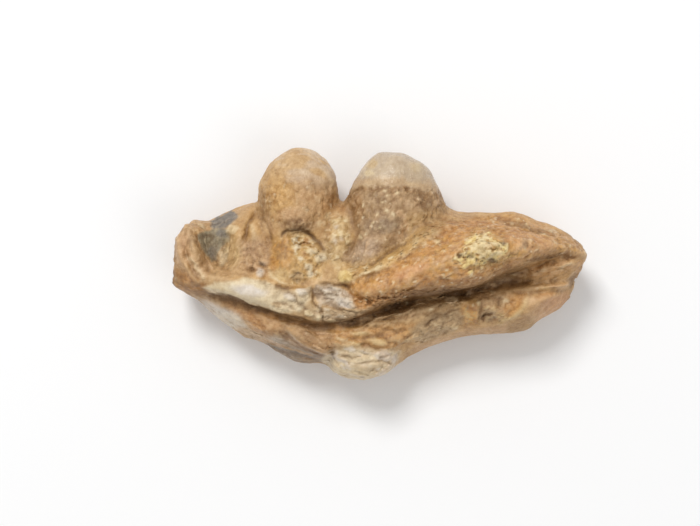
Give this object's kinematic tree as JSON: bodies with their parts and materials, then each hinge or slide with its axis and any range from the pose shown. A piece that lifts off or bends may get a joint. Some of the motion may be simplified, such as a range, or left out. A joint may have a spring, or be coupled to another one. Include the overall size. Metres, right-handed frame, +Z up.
{
  "type": "fossil lizard jaw section",
  "caption": "Broken section of a fossil lizard's lower jaw with blunt crushing teeth and a long groove along its inner face, bone and teeth turned to stone.",
  "frame": {"origin": "centre of the bounding box on the surface that the fossil lies on", "axes": "+X along the jaw, +Y towards the tooth tips, +Z up, out of the inner face with the long groove"},
  "size_m": [0.014, 0.0078, 0.0049],
  "materials": {
    "fossil_bone": "matt to waxy, mottled tan, ochre and brown with cream patches"
  },
  "bodies": {
    "root": {"jaw_section": "fossil_bone"}
  },
  "joints": []
}
